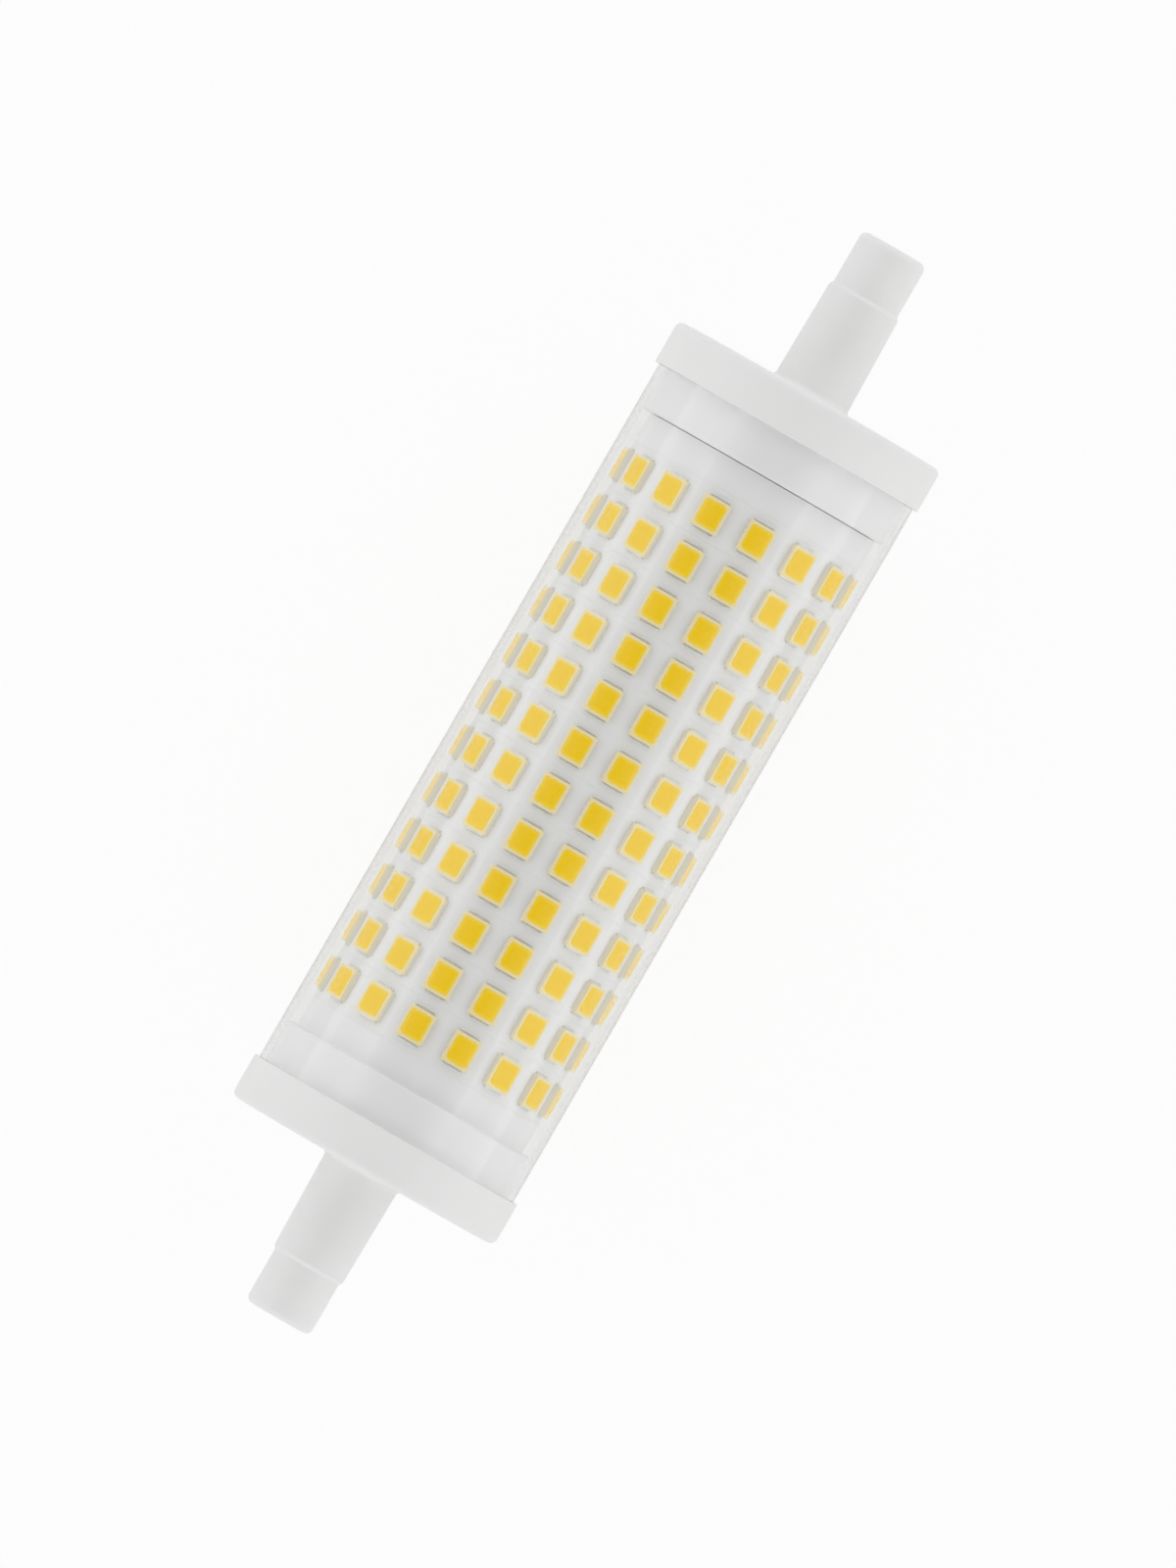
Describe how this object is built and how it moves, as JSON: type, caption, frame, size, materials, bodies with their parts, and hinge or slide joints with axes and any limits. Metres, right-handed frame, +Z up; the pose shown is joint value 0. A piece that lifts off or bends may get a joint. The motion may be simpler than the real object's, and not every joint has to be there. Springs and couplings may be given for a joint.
{
  "type": "linear led bulb",
  "caption": "Double-ended linear LED lamp: a clear tube over a many-sided board of small yellow LEDs, with white moulded end caps, slim posts and contacts sunk in the tips.",
  "frame": {"origin": "centre of the lamp, on its axis, midway between the two tips", "axes": "+X along the lamp's axis, +Z up, square to one flat of the LED board"},
  "size_m": [0.118, 0.0288, 0.0288],
  "materials": {
    "clear_plastic": "clear, smooth",
    "cap_plastic": "white, fine moulded texture",
    "contact_metal": "nickel plated",
    "board_white": "white solder mask on aluminium",
    "led_package": "white moulded",
    "phosphor": "yellow silicone gel",
    "liner_film": "polyester film",
    "circuit_board": "green solder mask",
    "lead_insulation": "red insulation",
    "resistor_coat": "lacquered",
    "moulded_black": "black moulding compound",
    "capacitor_case": "dipped film capacitor",
    "ferrite": "sintered ferrite",
    "copper_wire": "enamelled copper",
    "capacitor_sleeve": "sleeved aluminium can"
  },
  "bodies": {
    "root": {"cover_tube": "clear_plastic", "end_caps": "cap_plastic", "contacts": "contact_metal", "led_board": "board_white", "insulating_liner": "liner_film", "driver_board": "circuit_board", "led_pins": "contact_metal", "mains_leads": "lead_insulation", "chip_fuse": "resistor_coat", "bridge_rectifier": "moulded_black", "film_capacitor": "capacitor_case", "choke_core": "ferrite", "choke_winding": "copper_wire", "smoothing_capacitor": "capacitor_sleeve", "power_transistor": "moulded_black", "driver_chip": "moulded_black", "chip_resistors": "resistor_coat", "led_packages_side_1": "led_package", "led_phosphor_side_1": "phosphor", "led_packages_side_2": "led_package", "led_phosphor_side_2": "phosphor", "led_packages_side_3": "led_package", "led_phosphor_side_3": "phosphor", "led_packages_side_4": "led_package", "led_phosphor_side_4": "phosphor", "led_packages_side_5": "led_package", "led_phosphor_side_5": "phosphor", "led_packages_side_6": "led_package", "led_phosphor_side_6": "phosphor", "led_packages_side_7": "led_package", "led_phosphor_side_7": "phosphor", "led_packages_side_8": "led_package", "led_phosphor_side_8": "phosphor"}
  },
  "joints": []
}
